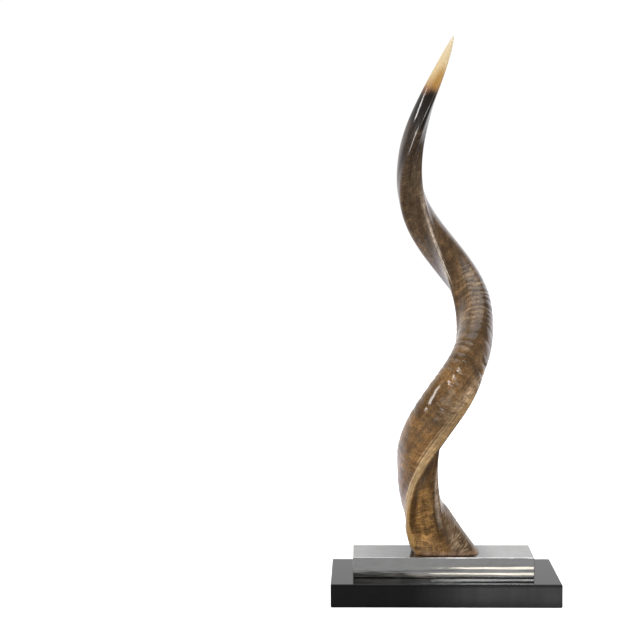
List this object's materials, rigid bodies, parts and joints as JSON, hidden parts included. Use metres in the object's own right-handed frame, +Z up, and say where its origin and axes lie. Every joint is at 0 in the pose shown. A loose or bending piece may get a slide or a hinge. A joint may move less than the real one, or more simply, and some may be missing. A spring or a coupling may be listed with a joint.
{
  "type": "kudu horn",
  "caption": "Polished spiral kudu horn with twisted keels and growth rings, standing upright as a display piece on a polished metal block and a glossy black slab.",
  "frame": {"origin": "middle of the black slab's underside", "axes": "+Z up from the slab to the horn's tip, +X along the slab's long side, +Y along its short side towards the back"},
  "size_m": [0.33, 0.168, 0.806],
  "materials": {
    "black_gloss": "high gloss black, mirror-like",
    "polished_metal": "polished nickel-coloured metal with a faint waviness",
    "polished_horn": "polished horn, brown with tan keels, near black towards the tip, ivory tip"
  },
  "bodies": {
    "root": {"base_slab": "black_gloss", "metal_block": "polished_metal", "horn": "polished_horn"}
  },
  "joints": []
}
